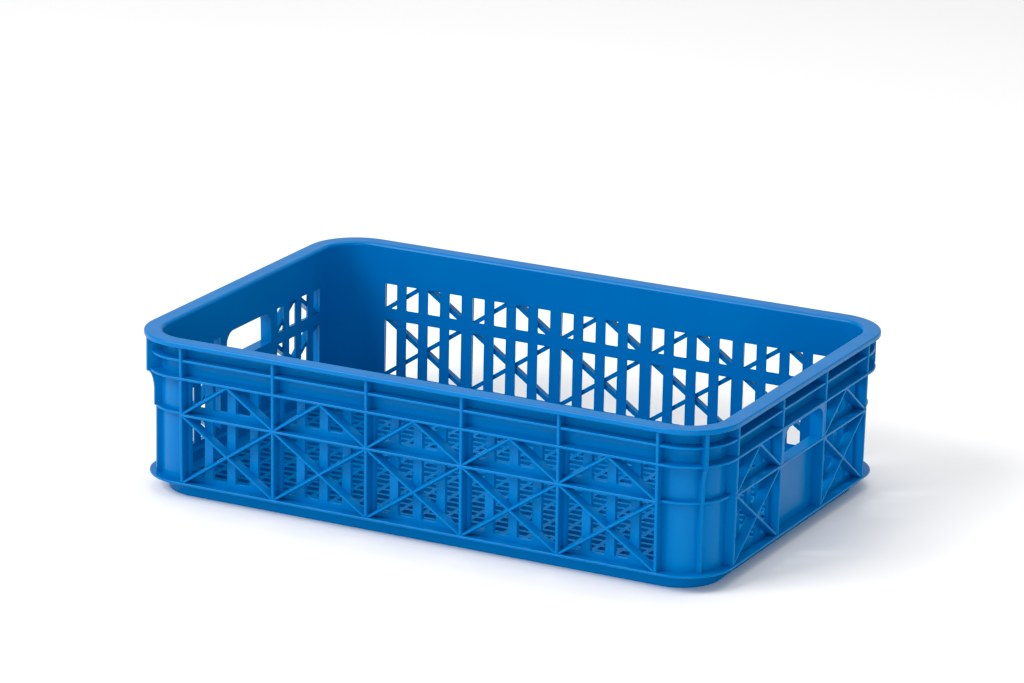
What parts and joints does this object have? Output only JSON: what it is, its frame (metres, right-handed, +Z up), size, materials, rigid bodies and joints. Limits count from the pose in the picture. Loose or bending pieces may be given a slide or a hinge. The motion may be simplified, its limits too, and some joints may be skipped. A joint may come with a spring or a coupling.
{
  "type": "stackable ventilated crate",
  "caption": "Shallow stackable ventilated crate with a ribbed lattice wall, end hand holes, a slotted floor and a nesting foot.",
  "frame": {"origin": "centre of the foot underside, on the surface the crate stands on", "axes": "+X along the length, +Y across the width towards the rear wall, +Z up"},
  "size_m": [0.6, 0.4, 0.153],
  "materials": {
    "crate_plastic": "satin moulded polyethylene, blue"
  },
  "bodies": {
    "root": {"braces_front": "crate_plastic", "braces_left": "crate_plastic", "braces_rear": "crate_plastic", "braces_right": "crate_plastic", "corner_post_front_left": "crate_plastic", "corner_post_front_right": "crate_plastic", "corner_post_rear_left": "crate_plastic", "corner_post_rear_right": "crate_plastic", "corner_ribs_front_left": "crate_plastic", "corner_ribs_front_right": "crate_plastic", "corner_ribs_rear_left": "crate_plastic", "corner_ribs_rear_right": "crate_plastic", "floor_grid": "crate_plastic", "floor_ribs": "crate_plastic", "foot_corner_front_left": "crate_plastic", "foot_corner_front_right": "crate_plastic", "foot_corner_rear_left": "crate_plastic", "foot_corner_rear_right": "crate_plastic", "foot_front": "crate_plastic", "foot_left": "crate_plastic", "foot_rear": "crate_plastic", "foot_right": "crate_plastic", "hand_hole_frame_left": "crate_plastic", "hand_hole_frame_right": "crate_plastic", "ledges_front": "crate_plastic", "ledges_left": "crate_plastic", "ledges_rear": "crate_plastic", "ledges_right": "crate_plastic", "rib_front_1": "crate_plastic", "rib_front_2": "crate_plastic", "rib_front_3": "crate_plastic", "rib_front_4": "crate_plastic", "rib_left_1": "crate_plastic", "rib_left_2": "crate_plastic", "rib_rear_1": "crate_plastic", "rib_rear_2": "crate_plastic", "rib_rear_3": "crate_plastic", "rib_rear_4": "crate_plastic", "rib_right_1": "crate_plastic", "rib_right_2": "crate_plastic", "rim_corner_front_left": "crate_plastic", "rim_corner_front_right": "crate_plastic", "rim_corner_rear_left": "crate_plastic", "rim_corner_rear_right": "crate_plastic", "rim_front": "crate_plastic", "rim_left": "crate_plastic", "rim_rear": "crate_plastic", "rim_right": "crate_plastic", "wall_front": "crate_plastic", "wall_left": "crate_plastic", "wall_rear": "crate_plastic", "wall_right": "crate_plastic"}
  },
  "joints": []
}
